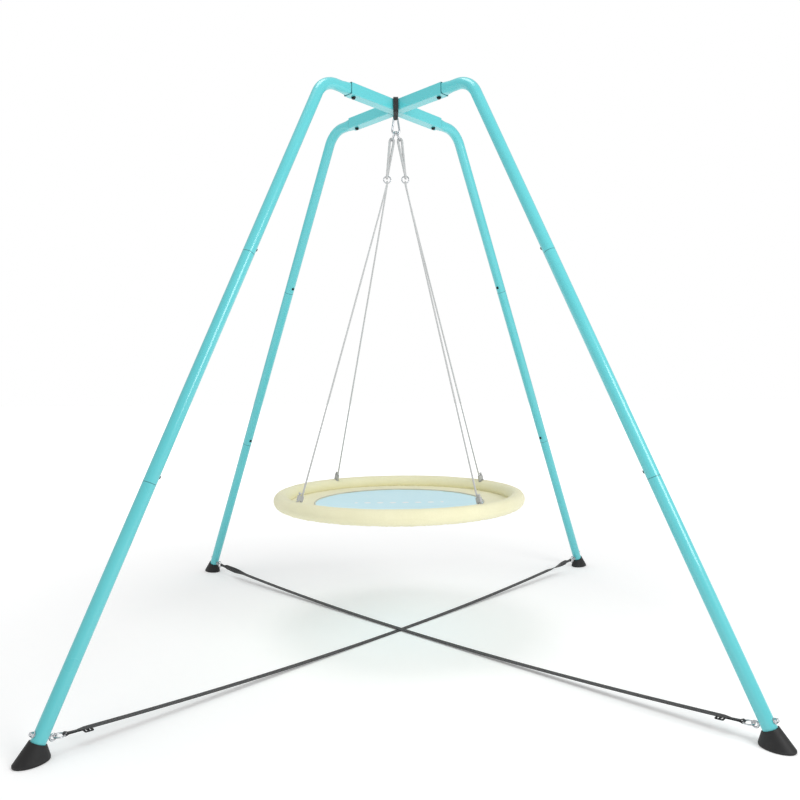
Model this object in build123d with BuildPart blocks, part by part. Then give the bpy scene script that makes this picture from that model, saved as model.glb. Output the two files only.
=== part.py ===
"""Swing: a round padded seat on ropes, hung inside a four-legged tube stand.

Millimetres, +Z up. The origin is on the floor, below the crossing of the two hub tubes.
The legs stand on the diagonals. Front is -Y and left is -X.
"""

from build123d import *
import os
from math import asin, atan, atan2, cos, degrees, hypot, pi, radians, sin, sqrt, tan

# ---------------------------------------------------------------- driving dimensions
CORNERS = {"front_left": 225, "front_right": 315, "rear_left": 135, "rear_right": 45}
SIDES = {"left": -1, "right": 1}

TUBE_D = 42.0  # round leg tube, outside
TUBE_WALL = 1.5
SPIGOT_GAP = 0.2  # all round, a reduced tube end in the tube that takes it
SPIGOT_LENGTH = 70.0

HUB_SIDE = 45.0  # square hub tube, outside
HUB_WALL = 1.8
HUB_EDGE_R = 4.0
HUB_Z = 2136.0  # axis of the hub tubes above the floor
HUB_ARM = 260.0  # from the middle to the mouth of an arm

FOOT_R = 1437.0  # where a leg's axis meets the floor
KNEE_R = 384.0  # where the leg's two straight axes cross
BEND_R = 100.0
SEAM_Z = (1455.0, 717.0)  # heights of the two joints of a leg
LEAN = atan((FOOT_R - KNEE_R) / HUB_Z)  # of the leg from the vertical

RIM_R = 479.0  # centreline of the seat's ring
RIM_Z = 550.0
RIM_TUBE_D = 26.0
RIM_PAD_R = 28.2  # foam round the steel ring
COVER_R = 30.0
COVER_WALL = 1.5
PANEL_R = 347.0
PANEL_Z = 530.0
ROPE_TURN = -8.0  # the rope places, from the diagonals
ROPE_D = 7.0

TINY = 0.3  # clear space between pieces that only lie close

os.makedirs("parts", exist_ok=True)


def save(piece, name):
    """Write one finished piece under its own name."""
    piece.label = name
    export_step(piece, f"parts/{name}.step")


def save_at_corners(piece, name):
    """Write a piece that was made in the XZ plane once for each leg."""
    for corner, azimuth in CORNERS.items():
        save(Rot(0, 0, azimuth) * piece, f"{corner}_{name}")


def gather(pieces):
    """Several separate solids as one piece."""
    return Compound(children=list(pieces))


# ---------------------------------------------------------------- hub
# The hub is one long square tube with a half-length tube welded on each side of it.
HUB_BOLT_R = HUB_ARM - 28.0
HUB_BOLT_D = 8.0
HUB_BOLT_HOLE = 8.6


def square_tube(start, end):
    """A square tube along X, with the holes for the leg bolts near its open ends."""
    with BuildPart() as tube:
        with BuildSketch(Plane((start, 0, HUB_Z), x_dir=(0, 1, 0), z_dir=(1, 0, 0))):
            RectangleRounded(HUB_SIDE, HUB_SIDE, HUB_EDGE_R)
            inner = HUB_SIDE - 2 * HUB_WALL
            RectangleRounded(inner, inner, HUB_EDGE_R - HUB_WALL, mode=Mode.SUBTRACT)
        extrude(amount=end - start)
        with BuildSketch(Plane.XY.offset(HUB_Z - HUB_SIDE)):
            places = [x for x in (-HUB_BOLT_R, HUB_BOLT_R) if start < x < end]
            with Locations(*[(x, 0) for x in places]):
                Circle(HUB_BOLT_HOLE / 2)
        extrude(amount=2 * HUB_SIDE, mode=Mode.SUBTRACT)
    return tube.part


save(Rot(0, 0, 45) * square_tube(-HUB_ARM, HUB_ARM), "hub_long_tube")
half_tube = square_tube(HUB_SIDE / 2, HUB_ARM)
save(Rot(0, 0, 135) * half_tube, "hub_half_tube_rear_left")
save(Rot(0, 0, 315) * half_tube, "hub_half_tube_front_right")

# ---------------------------------------------------------------- legs
STUB_SIDE = HUB_SIDE - 2 * HUB_WALL - 2 * SPIGOT_GAP
STUB_EDGE_R = 9.0
STUB_LENGTH = 56.0  # of the leg's squared end inside the hub arm
SWAGE_LENGTH = 34.0  # over which the squared end turns round
HOLE_D = 6.5  # for the leg screws
SCREW_ABOVE_SEAM = 27.0


def leg_point(z):
    """The leg's axis at height z, in the plane of the leg."""
    return (FOOT_R - z * tan(LEAN), 0, z)


LEG_UP = (-sin(LEAN), 0, cos(LEAN))
LEG_INWARD = (-cos(LEAN), 0, -sin(LEAN))


def squared_circle(radius, side, edge_r):
    """Draw a circle as eight arcs that match the flats and corners of a rounded square."""
    flat = degrees(atan((side / 2 - edge_r) / (side / 2)))
    for quarter in range(4):
        CenterArc((0, 0), radius, 90 * quarter - flat, 2 * flat)
        CenterArc((0, 0), radius, 90 * quarter + flat, 90 - 2 * flat)


def rounded_square(side, edge_r):
    """Draw a rounded square as four lines and four arcs."""
    half = side / 2
    flat = half - edge_r
    for quarter in range(4):
        along = Vector(1, 0).rotate(Axis.Z, 90 * quarter)
        across = along.rotate(Axis.Z, 90)
        Line(along * half - across * flat, along * half + across * flat)
        CenterArc((along + across) * flat, edge_r, 90 * quarter, 90)


def radial_plane(r):
    return Plane((r, 0, HUB_Z), x_dir=(0, 1, 0), z_dir=(1, 0, 0))


mouth = HUB_ARM + 2
with BuildPart() as upper_tube:
    for inset, mode in ((0, Mode.ADD), (TUBE_WALL, Mode.SUBTRACT)):
        side, edge_r = STUB_SIDE - 2 * inset, STUB_EDGE_R - inset
        with BuildSketch(radial_plane(HUB_ARM - STUB_LENGTH)):
            with BuildLine():
                rounded_square(side, edge_r)
            make_face()
        extrude(amount=STUB_LENGTH + 2, mode=mode)
        with BuildSketch(radial_plane(mouth)):
            with BuildLine():
                rounded_square(side, edge_r)
            make_face()
        with BuildSketch(radial_plane(mouth + SWAGE_LENGTH)):
            with BuildLine():
                squared_circle(TUBE_D / 2 - inset, side, edge_r)
            make_face()
        loft(mode=mode)
    with BuildLine(Plane.XZ) as knee:
        FilletPolyline(
            (mouth + SWAGE_LENGTH, HUB_Z),
            (KNEE_R, HUB_Z),
            (leg_point(SEAM_Z[0])[0], SEAM_Z[0]),
            radius=BEND_R,
        )
    with BuildSketch(Plane(knee.line @ 0, x_dir=(0, 1, 0), z_dir=knee.line % 0)):
        Circle(TUBE_D / 2)
        Circle(TUBE_D / 2 - TUBE_WALL, mode=Mode.SUBTRACT)
    sweep(path=knee.line)
    with BuildSketch(Plane.XY.offset(HUB_Z - HUB_SIDE)):
        with Locations((HUB_BOLT_R, 0)):
            Circle(HUB_BOLT_HOLE / 2)
    extrude(amount=2 * HUB_SIDE, mode=Mode.SUBTRACT)
    above = leg_point(SEAM_Z[0] + SCREW_ABOVE_SEAM * cos(LEAN))
    with BuildSketch(Plane(above, z_dir=LEG_INWARD)):
        Circle(HOLE_D / 2)
    extrude(amount=TUBE_D, mode=Mode.SUBTRACT)
save_at_corners(upper_tube.part, "upper_tube")


def straight_tube(top_z, bottom_z, cross_holes, screw_hole):
    """A leg tube with a reduced end that stands SPIGOT_LENGTH above its top."""
    length = (top_z - bottom_z) / cos(LEAN)
    spigot_r = TUBE_D / 2 - TUBE_WALL - SPIGOT_GAP
    with BuildPart() as tube:
        with BuildSketch(Plane(leg_point(bottom_z), z_dir=LEG_UP)):
            Circle(TUBE_D / 2)
            Circle(spigot_r - TUBE_WALL, mode=Mode.SUBTRACT)
        extrude(amount=length)
        with BuildSketch(Plane(leg_point(bottom_z), z_dir=LEG_UP)):
            Circle(TUBE_D / 2 - TUBE_WALL)
        extrude(amount=length - SPIGOT_LENGTH / 4, mode=Mode.SUBTRACT)
        with BuildSketch(Plane(leg_point(top_z), z_dir=LEG_UP)):
            Circle(spigot_r)
            Circle(spigot_r - TUBE_WALL, mode=Mode.SUBTRACT)
        extrude(amount=SPIGOT_LENGTH)
        holes = [top_z + SCREW_ABOVE_SEAM * cos(LEAN)]
        if screw_hole:
            holes.append(bottom_z + SCREW_ABOVE_SEAM * cos(LEAN))
        for z in holes:
            with BuildSketch(Plane(leg_point(z), z_dir=LEG_INWARD)):
                Circle(HOLE_D / 2)
            extrude(amount=TUBE_D, mode=Mode.SUBTRACT)
        for z in cross_holes:
            with BuildSketch(Plane(leg_point(z), z_dir=LEG_INWARD)):
                Circle(EYE_HOLE / 2)
            extrude(amount=TUBE_D, both=True, mode=Mode.SUBTRACT)
    return tube.part


EYE_UP_LEG = 72.0  # the eye bolt's place, up the leg's axis from the floor
EYE_Z = EYE_UP_LEG * cos(LEAN)
EYE_HOLE = 8.6
LEG_END_Z = 15.0  # of the lowest tube's axis above the floor, inside the foot
save_at_corners(straight_tube(SEAM_Z[0], SEAM_Z[1], [], True), "middle_tube")
save_at_corners(straight_tube(SEAM_Z[1], LEG_END_Z, [EYE_Z], False), "lower_tube")

# ---------------------------------------------------------------- leg screws and hub bolts
SCREW_HEAD_D = 12.0
SCREW_HEAD_H = 3.6
SCREW_D = 6.0
SCREW_LENGTH = 14.0


def leg_screw(seam_z):
    """A pan-head screw through the tube wall and the reduced end inside it."""
    seat = Vector(*leg_point(seam_z + SCREW_ABOVE_SEAM * cos(LEAN)))
    outwards = Vector(*LEG_INWARD)
    with BuildPart() as screw:
        with BuildSketch(Plane(seat + outwards * (TUBE_D / 2), z_dir=LEG_INWARD)):
            Circle(SCREW_HEAD_D / 2)
        extrude(amount=SCREW_HEAD_H)
        fillet(screw.edges().sort_by(Axis(seat, LEG_INWARD))[-1], SCREW_HEAD_H / 2)
        with BuildSketch(Plane(seat + outwards * (TUBE_D / 2), z_dir=LEG_INWARD)):
            Circle(SCREW_D / 2)
        extrude(amount=-SCREW_LENGTH)
    return screw.part


screws = [leg_screw(z) for z in SEAM_Z]
save(gather(Rot(0, 0, a) * s for a in CORNERS.values() for s in screws), "leg_screws")

BOLT_HEAD_D = 15.0
BOLT_HEAD_H = 6.5
WASHER_D = 18.0
WASHER_H = 1.4
under = HUB_Z - HUB_SIDE / 2
over = HUB_Z + HUB_SIDE / 2
with BuildPart() as hub_bolt:
    with BuildSketch(Plane.XY.offset(under - WASHER_H)):
        Circle(WASHER_D / 2)
    extrude(amount=WASHER_H)
    with BuildSketch(Plane.XY.offset(under - WASHER_H - BOLT_HEAD_H)):
        Circle(BOLT_HEAD_D / 2)
    extrude(amount=BOLT_HEAD_H)
    fillet(hub_bolt.edges().sort_by(Axis.Z)[0], BOLT_HEAD_H / 2)
    with BuildSketch(Plane.XY.offset(under)):
        Circle(HUB_BOLT_D / 2)
    extrude(amount=HUB_SIDE + 4)
with BuildPart() as hub_nut:
    with BuildSketch(Plane.XY.offset(over)):
        RegularPolygon(7.5, 6)
        Circle(HUB_BOLT_D / 2, mode=Mode.SUBTRACT)
    extrude(amount=5)
    with BuildSketch(Plane.XY.offset(over + 5)):
        Circle(6)
    extrude(amount=4)
    fillet(hub_nut.edges().sort_by(Axis.Z)[-1], 3)
placed = [Rot(0, 0, a) * Pos(HUB_BOLT_R, 0, 0) for a in CORNERS.values()]
save(gather(at * hub_bolt.part for at in placed), "hub_bolts")
save(gather(at * hub_nut.part for at in placed), "hub_cap_nuts")

# ---------------------------------------------------------------- feet
# A rubber boot: a collar square to the leg, and a longer oval sole flat on the floor.
COLLAR_UP_LEG = 54.0
COLLAR_D = 50.0
SOLE_LENGTH = 98.0
SOLE_WIDTH = 70.0
SOLE_INWARD = 6.0
SOLE_EDGE = 7.0
collar_at = leg_point(COLLAR_UP_LEG * cos(LEAN))
with BuildPart() as foot:
    with BuildSketch(Plane.XY.offset(SOLE_EDGE)):
        with Locations((FOOT_R - SOLE_INWARD, 0)):
            Ellipse(SOLE_LENGTH / 2, SOLE_WIDTH / 2)
    with BuildSketch(Plane(collar_at, x_dir=(cos(LEAN), 0, sin(LEAN)), z_dir=LEG_UP)):
        Circle(COLLAR_D / 2)
    loft()
    with BuildSketch(Plane.XY.offset(SOLE_EDGE)):
        with Locations((FOOT_R - SOLE_INWARD, 0)):
            Ellipse(SOLE_LENGTH / 2, SOLE_WIDTH / 2)
    extrude(amount=-SOLE_EDGE)
    fillet(foot.edges().group_by(Axis.Z)[0], SOLE_EDGE / 2)
    with BuildSketch(Plane(leg_point(LEG_END_Z), z_dir=LEG_UP)):
        Circle(TUBE_D / 2)
    extrude(amount=COLLAR_UP_LEG, mode=Mode.SUBTRACT)
save_at_corners(foot.part, "foot")

# ---------------------------------------------------------------- eye bolts and strap rings
# The strap's ring hangs in the eye: lying flat at the front feet, on edge at the rear.
EYE_R = 8.5  # centreline of the eye
EYE_WIRE_R = 3.0
EYE_REACH = TUBE_D / 2 + EYE_WIRE_R + EYE_R + 1.5
RING_R = 15.5
RING_WIRE_R = 2.3
RING_SLACK = 1.8  # between the ring and the inside of the eye
STRAP_W = 25.0
STRAP_T = 2.0
STRAP_LIFT = {"front_left": 1.5, "front_right": 4.0}  # centre of the strap at the crossing

eye_at = Vector(*leg_point(EYE_Z))
inward = Vector(*LEG_INWARD)
eye_centre = eye_at + inward * EYE_REACH
ring_offset = EYE_R - EYE_WIRE_R - RING_WIRE_R - RING_SLACK
RING_REACH = ring_offset + 2 * RING_R  # from the eye's centre to the ring's far wire
strap_slope = atan(2 * (eye_centre.Z - 4) / (eye_centre.X - RING_REACH))
pull = Vector(-cos(strap_slope), 0, -sin(strap_slope))


def torus_at(centre, axis, ring_r, wire_r):
    """A closed round ring about an axis."""
    side = Vector(*axis).cross(Vector(0.3, 0.5, 0.8)).normalized()
    with BuildPart() as ring:
        with BuildSketch(Plane(centre, x_dir=side, z_dir=Vector(*axis).cross(side))):
            with Locations((ring_r, 0)):
                Circle(wire_r)
        revolve(axis=Axis(centre, axis))
    return ring.part


def eye_bolt(eye_axis):
    """A threaded rod with an eye, through both walls of the leg."""
    eye = torus_at(eye_centre, eye_axis, EYE_R, EYE_WIRE_R)
    back = TUBE_D / 2 + 9
    with BuildPart() as bolt:
        with BuildSketch(Plane(eye_at - inward * back, z_dir=LEG_INWARD)):
            Circle(4)
        extrude(amount=back + EYE_REACH - EYE_R)
        add(eye)
    return bolt.part


sideways = Vector(0, 1, 0)
upright = sideways.cross(inward)
strap_up = sideways.cross(pull)
ring_centre = eye_centre + pull * (ring_offset + RING_R)
for corner, azimuth in CORNERS.items():
    flat = corner.startswith("front")
    bolt = eye_bolt(sideways if flat else strap_up)
    save(Rot(0, 0, azimuth) * bolt, f"{corner}_eye_bolt")
    ring = torus_at(ring_centre, strap_up if flat else sideways, RING_R, RING_WIRE_R)
    save(Rot(0, 0, azimuth) * ring, f"{corner}_strap_ring")

with BuildPart() as eye_nut:
    nut_plane = Plane(eye_at - inward * (TUBE_D / 2), z_dir=inward * -1)
    with BuildSketch(nut_plane):
        Circle(9)
        Circle(4, mode=Mode.SUBTRACT)
    extrude(amount=1.4)
    with BuildSketch(nut_plane.offset(1.4)):
        RegularPolygon(7.5, 6)
        Circle(4, mode=Mode.SUBTRACT)
    extrude(amount=6)
    with BuildSketch(nut_plane.offset(7.4)):
        Circle(6)
        Circle(4, mode=Mode.SUBTRACT)
    extrude(amount=1.6)
    with BuildSketch(nut_plane.offset(9)):
        Circle(6)
    extrude(amount=3.5)
    fillet(eye_nut.edges().sort_by(Axis(eye_at, inward * -1))[-1], 2.5)
save(gather(Rot(0, 0, a) * eye_nut.part for a in CORNERS.values()), "eye_bolt_cap_nuts")

# ---------------------------------------------------------------- floor straps
# Each strap is one length of webbing between two opposite rings, low over the floor.
# Its ends are gathered narrow, looped round the ring's far wire and sewn back on themselves.
LOOP_INNER_R = 4.2
LOOP_W = 12.0
DOUBLED = 48.0  # length of the sewn-back end
far_wire = eye_centre + pull * RING_REACH


def strap_end(on_edge):
    """The loop round the ring's wire and the doubled end, on edge or lying flat."""
    axis = strap_up if on_edge else sideways
    with BuildPart() as end:
        with BuildSketch(Plane(far_wire - axis * (LOOP_W / 2), x_dir=pull, z_dir=axis)):
            Circle(LOOP_INNER_R + STRAP_T)
            with Locations((DOUBLED / 2, 0)):
                Rectangle(DOUBLED, 2 * STRAP_T + 1)
            Circle(LOOP_INNER_R, mode=Mode.SUBTRACT)
        extrude(amount=LOOP_W)
    return end.part


def floor_strap(lift):
    """The webbing from ring to ring along one shallow arc, in the XZ plane."""
    reach = far_wire.X - DOUBLED + 12
    end_z = far_wire.Z - (DOUBLED - 12) * sin(strap_slope)
    with BuildPart() as strap:
        with BuildLine(Plane.XZ) as sag:
            ThreePointArc((-reach, end_z), (0, lift), (reach, end_z))
        with BuildSketch(Plane(sag.wire() @ 0, x_dir=(0, 1, 0), z_dir=sag.wire() % 0)):
            Rectangle(STRAP_W, STRAP_T)
        sweep(path=sag.wire())
        add(strap_end(on_edge=False))
        add(Rot(0, 0, 180) * strap_end(on_edge=True))
    return strap.part


for corner, lift in STRAP_LIFT.items():
    save(Rot(0, 0, CORNERS[corner]) * floor_strap(lift), f"{corner}_floor_strap")

# A plastic slider under the doubled end sets each strap's length.
SLIDER_L = 26.0
SLIDER_W = 33.0
SLIDER_T = 3.0
slider_at = far_wire + pull * 62 - strap_up * (STRAP_T / 2 + SLIDER_T / 2 + 2.2)
with BuildPart() as slider:
    with BuildSketch(Plane(slider_at, x_dir=pull, z_dir=strap_up)):
        RectangleRounded(SLIDER_L, SLIDER_W, 4)
        with GridLocations(SLIDER_L / 2 - 2, 0, 2, 1):
            Rectangle(5, SLIDER_W - 7, mode=Mode.SUBTRACT)
    extrude(amount=SLIDER_T / 2, both=True)
    fillet(slider.edges().filter_by(GeomType.CIRCLE).group_by(Axis.Z)[0], 0.8)
save(gather(Rot(0, 0, CORNERS[c]) * slider.part for c in STRAP_LIFT), "strap_sliders")

# ---------------------------------------------------------------- hanging sling
# A closed webbing band round the crossing of the hub. It hangs in the notches between the
# arms and is gathered narrow where the carabiner sits in it.
SWING_Z = 2095.0  # axis of the carabiner's top, where the seat swings
SLING_T = 3.0
SLING_HALF = 48.5  # centre of the band from the middle, front and back
SLING_TOP = HUB_Z + HUB_SIDE / 2 + 5.5
SLING_W = 20.0
SLING_GATHER = 7.0  # width in the carabiner
WIRE_R = 4.0  # of the carabiner
bight_r = WIRE_R + 2 + SLING_T / 2
spread = radians(23.5)
bight_z = SWING_Z - bight_r / cos(spread)
shoulder_z = bight_z + SLING_HALF * tan(spread)
with BuildPart() as sling:
    with BuildSketch(Plane.YZ):
        with BuildLine():
            FilletPolyline(
                (-SLING_HALF, SLING_TOP),
                (SLING_HALF, SLING_TOP),
                (SLING_HALF, shoulder_z),
                (0, bight_z),
                (-SLING_HALF, shoulder_z),
                radius=bight_r,
                close=True,
            )
        make_face()
        offset(amount=SLING_T / 2)
        offset(amount=-SLING_T, mode=Mode.SUBTRACT)
    extrude(amount=SLING_W / 2, both=True)
    with BuildSketch(Plane.XZ):
        with BuildLine():
            Polyline(
                (-SLING_W / 2, SLING_TOP + SLING_T),
                (SLING_W / 2, SLING_TOP + SLING_T),
                (SLING_W / 2, shoulder_z + 6),
                (SLING_GATHER / 2, SWING_Z + 3),
                (SLING_GATHER / 2, SWING_Z - 2 * bight_r),
                (-SLING_GATHER / 2, SWING_Z - 2 * bight_r),
                (-SLING_GATHER / 2, SWING_Z + 3),
                (-SLING_W / 2, shoulder_z + 6),
                close=True,
            )
        make_face()
    extrude(amount=2 * SLING_HALF, both=True, mode=Mode.INTERSECT)
save(sling.part, "hanging_sling")

# ---------------------------------------------------------------- carabiner
# A pear-shaped snap hook of round wire. The gate turns inwards on a pin near the narrow end.
TOP_R = 8.5
BOTTOM_R = 14.5
top_centre = SWING_Z - TOP_R
bottom_centre = top_centre - 43.0
lean_in = asin((BOTTOM_R - TOP_R) / (top_centre - bottom_centre))
shoulder = Vector(TOP_R * cos(lean_in), 0, top_centre + TOP_R * sin(lean_in))
nose = Vector(BOTTOM_R * cos(lean_in), 0, bottom_centre + BOTTOM_R * sin(lean_in))
gate_down = (nose - shoulder).normalized()
gate_out = Vector(cos(lean_in), 0, sin(lean_in))
PIVOT_DOWN = 4.0
GATE_START = 1.8
GATE_R = 3.7
PIN_R = 1.3
pivot = shoulder + gate_down * PIVOT_DOWN
side_plane = Plane(shoulder, x_dir=gate_down, z_dir=(0, -1, 0))


def mirrored(point):
    return (-point.X, point.Z)


with BuildPart() as carabiner:
    with BuildLine(Plane.XZ) as wire:
        ThreePointArc((nose.X, nose.Z), (0, bottom_centre - BOTTOM_R), mirrored(nose))
        Line(mirrored(nose), mirrored(shoulder))
        ThreePointArc(mirrored(shoulder), (0, SWING_Z), (shoulder.X, shoulder.Z))
    with BuildSketch(Plane(nose, x_dir=(0, 1, 0), z_dir=wire.wire() % 0)):
        Circle(WIRE_R)
    sweep(path=wire.wire())
    with BuildSketch(side_plane):
        Circle(3.2)
        with Locations((PIVOT_DOWN / 2, 0)):
            Rectangle(PIVOT_DOWN, 6.4)
        with Locations((PIVOT_DOWN, 0)):
            Circle(3.2)
            Circle(PIN_R, mode=Mode.SUBTRACT)
    extrude(amount=1.5, both=True)
save(carabiner.part, "carabiner_hook")

with BuildPart() as gate:
    with BuildSketch(Plane(shoulder + gate_down * GATE_START, z_dir=gate_down)):
        Circle(GATE_R)
    extrude(amount=(nose - shoulder).length - GATE_START - 0.5)
    with BuildSketch(side_plane):
        with Locations((PIVOT_DOWN + 1, 0)):
            Rectangle(9, 4 * GATE_R)
    extrude(amount=1.8, both=True, mode=Mode.SUBTRACT)
    with BuildSketch(side_plane):
        with Locations((PIVOT_DOWN, 0)):
            Circle(PIN_R + 0.05)
    extrude(amount=2 * GATE_R, both=True, mode=Mode.SUBTRACT)
    with BuildSketch(Plane(shoulder + gate_down * 9, z_dir=gate_down)):
        Circle(1.9)
    extrude(amount=24, mode=Mode.SUBTRACT)
save(gate.part, "carabiner_gate")

with BuildPart() as gate_pin:
    with BuildSketch(side_plane):
        with Locations((PIVOT_DOWN, 0)):
            Circle(PIN_R)
    extrude(amount=GATE_R - 0.2, both=True)
save(gate_pin.part, "carabiner_gate_pin")

with BuildPart() as gate_spring:
    start = shoulder + gate_down * 9.6
    with BuildLine() as coil:
        Helix(pitch=2.2, height=20, radius=1.3, center=start, direction=gate_down)
    with BuildSketch(Plane(coil.wire() @ 0, z_dir=coil.wire() % 0)):
        Circle(0.4)
    sweep(path=coil.wire())
save(gate_spring.part, "carabiner_gate_spring")

# ---------------------------------------------------------------- links, loops and rope rings
# Two steel rings spread out from the carabiner, each with a loop of tubular webbing that
# turns a quarter on its way down to the ring that carries one side's rope.
LINK_R = 19.5
LINK_WIRE_R = 2.5
LINK_SPREAD = 20.0  # degrees from the vertical
LINK_X = 3.0
LINK_SLACK = 2.5  # lets the rings turn on the hook
ROPE_RING_R = 14.25
ROPE_RING_X = 37.0
ROPE_RING_TOP = 1859.0  # centre of the ring's top wire
LOOP_ROPE_R = 4.0
bar_rise = BOTTOM_R - sqrt(BOTTOM_R**2 - LINK_X**2)
link_top = Vector(
    LINK_X, 0, bottom_centre - BOTTOM_R + bar_rise + WIRE_R + LINK_WIRE_R + LINK_SLACK
)
link_down = Vector(sin(radians(LINK_SPREAD)), 0, -cos(radians(LINK_SPREAD)))
link_bottom = link_top + link_down * (2 * LINK_R)
ring_top = Vector(ROPE_RING_X, 0, ROPE_RING_TOP)
ring_bottom = ring_top - Vector(0, 0, 2 * ROPE_RING_R)
link = torus_at(
    link_top + link_down * LINK_R, link_down.cross(Vector(0, 1, 0)), LINK_R, LINK_WIRE_R
)
rope_ring = torus_at((ring_top + ring_bottom) / 2, (0, 1, 0), ROPE_RING_R, LINK_WIRE_R)

loop_up = (link_bottom - ring_top).normalized()
loop_side = Vector(0, 1, 0).cross(loop_up)
half = LOOP_ROPE_R + LINK_WIRE_R + 2 * TINY
with BuildPart() as webbing_loop:
    with BuildLine() as strand:
        FilletPolyline(
            link_bottom + loop_up * half,
            link_bottom + loop_up * half + loop_side * half,
            ring_top - loop_up * half + Vector(0, half, 0),
            ring_top - loop_up * half,
            radius=half - 0.9,
        )
    with BuildSketch(Plane(strand.wire() @ 0, z_dir=strand.wire() % 0)):
        Circle(LOOP_ROPE_R)
    sweep(path=strand.wire())
    add(webbing_loop.part.rotate(Axis(link_bottom, loop_up), 180))
print("loop", 2 * strand.wire().length, webbing_loop.part.volume / (pi * LOOP_ROPE_R**2))
for side, turn in (("right", 0), ("left", 180)):
    save(Rot(0, 0, turn) * link, f"{side}_link_ring")
    save(Rot(0, 0, turn) * webbing_loop.part, f"{side}_webbing_loop")
    save(Rot(0, 0, turn) * rope_ring, f"{side}_rope_ring")

# ---------------------------------------------------------------- ropes and adjusters
# One rope a side runs from the front of the rim over its ring to the rear of the rim. Each
# end goes round the steel tube and back up through the plastic adjuster, where a knot
# stops it.
HOLE_APART = 6.0  # each strand from the adjuster's middle
ADJUSTER_FROM = 33.0  # up the rope from the rim's centreline
ADJUSTER_TO = 53.0
ROPE_WRAP = RIM_TUBE_D / 2 + ROPE_D / 2 + 2 * TINY
SADDLE = LINK_WIRE_R + ROPE_D / 2 + 2 * TINY
ROPE_CORNERS = {name: CORNERS[name] + ROPE_TURN for name in CORNERS}


def rim_point(name):
    a = radians(ROPE_CORNERS[name])
    return Vector(RIM_R * cos(a), RIM_R * sin(a), RIM_Z)


def saddle_point(name):
    """The top of the rope's turn over its ring, on the side of this rope end."""
    side = -1 if name.endswith("left") else 1
    front = -1 if name.startswith("front") else 1
    z = ring_bottom.Z + SADDLE
    return Vector(side * ROPE_RING_X, front * SADDLE, z)


def rope_frame(name):
    """Up the rope, and inwards square to it, at one place on the rim."""
    middle = rim_point(name)
    along = (saddle_point(name) - middle).normalized()
    radial = Vector(-middle.X, -middle.Y, 0).normalized()
    across = (radial - along * radial.dot(along)).normalized()
    return middle, along, across


def rope_end(name):
    """The rope's points from the knot round the rim tube to the adjuster."""
    middle, along, across = rope_frame(name)

    def at(up, over):
        return middle + along * up + across * over

    return [
        at(ADJUSTER_TO + 3, -HOLE_APART),
        at(ADJUSTER_FROM - 3, -HOLE_APART),
        at(8, -ROPE_WRAP),
        at(-ROPE_WRAP, -ROPE_WRAP),
        at(-ROPE_WRAP, ROPE_WRAP),
        at(8, ROPE_WRAP),
        at(ADJUSTER_FROM - 3, HOLE_APART),
    ]


END_RADII = [9, 14, ROPE_WRAP - 0.5, ROPE_WRAP - 0.5, 14, 9]


def rope(side):
    front, rear = f"front_{side}", f"rear_{side}"
    points = rope_end(front) + [saddle_point(front), saddle_point(rear)]
    points += rope_end(rear)[::-1]
    radii = END_RADII + [SADDLE - 0.4, SADDLE - 0.4] + END_RADII[::-1]
    with BuildPart() as line:
        with BuildLine() as route:
            FilletPolyline(*points, radius=radii)
        with BuildSketch(Plane(route.wire() @ 0, z_dir=route.wire() % 0)):
            Circle(ROPE_D / 2)
        sweep(path=route.wire())
        print(side, "rope", route.wire().length, line.part.volume / (pi * (ROPE_D / 2) ** 2))
        for name in (front, rear):
            _, along, _ = rope_frame(name)
            knot = rope_end(name)[0] + along * 4
            with Locations(knot):
                Sphere(6)
    return line.part


for side in SIDES:
    save(rope(side), f"{side}_rope")

for name in CORNERS:
    middle, along, across = rope_frame(name)
    with BuildPart() as adjuster:
        with BuildSketch(Plane(middle + along * ADJUSTER_FROM, x_dir=across, z_dir=along)):
            RectangleRounded(26, 12, 5)
            with GridLocations(2 * HOLE_APART, 0, 2, 1):
                Circle(ROPE_D / 2 + TINY, mode=Mode.SUBTRACT)
        extrude(amount=ADJUSTER_TO - ADJUSTER_FROM)
    save(adjuster.part, f"{name}_rope_adjuster")

# ---------------------------------------------------------------- rim tubes
# Four quarter rings of steel tube. One end of each is reduced and pushed into the next,
# where a sprung button holds it.
RIM_SPIGOT = 5.0  # degrees of ring
RIM_WALL = 1.4
RIM_SEAM = degrees(TINY / RIM_R)
RIM_SPIGOT_R = RIM_TUBE_D / 2 - RIM_WALL - SPIGOT_GAP
BUTTON_D = 6.0


def rim_plane(turn):
    """Square across the ring, with X outwards."""
    a = radians(turn)
    return Plane((0, 0, RIM_Z), x_dir=(cos(a), sin(a), 0), z_dir=(sin(a), -cos(a), 0))


def button_plane(turn):
    """At the tube's centreline, facing down."""
    a = radians(turn)
    return Plane((RIM_R * cos(a), RIM_R * sin(a), RIM_Z), x_dir=(1, 0, 0), z_dir=(0, 0, -1))


# start and length of turn in degrees, outer and inner radius
RIM_LENGTHS = (
    (0, 90 - RIM_SEAM, RIM_TUBE_D / 2, RIM_TUBE_D / 2 - RIM_WALL),
    (0, 1, RIM_TUBE_D / 2 - RIM_WALL / 2, RIM_SPIGOT_R - RIM_WALL),
    (-RIM_SPIGOT, RIM_SPIGOT + 0.5, RIM_SPIGOT_R, RIM_SPIGOT_R - RIM_WALL),
)
with BuildPart() as rim_tube:
    for start, turn, outer_r, inner_r in RIM_LENGTHS:
        with BuildSketch(rim_plane(start)):
            with Locations((RIM_R, 0)):
                Circle(outer_r)
                Circle(inner_r, mode=Mode.SUBTRACT)
        revolve(axis=Axis.Z, revolution_arc=turn)
    for turn in (-RIM_SPIGOT / 2, 90 - RIM_SPIGOT / 2):
        with BuildSketch(button_plane(turn)):
            Circle(BUTTON_D / 2 + SPIGOT_GAP / 2)
        extrude(amount=RIM_TUBE_D, mode=Mode.SUBTRACT)

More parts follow.
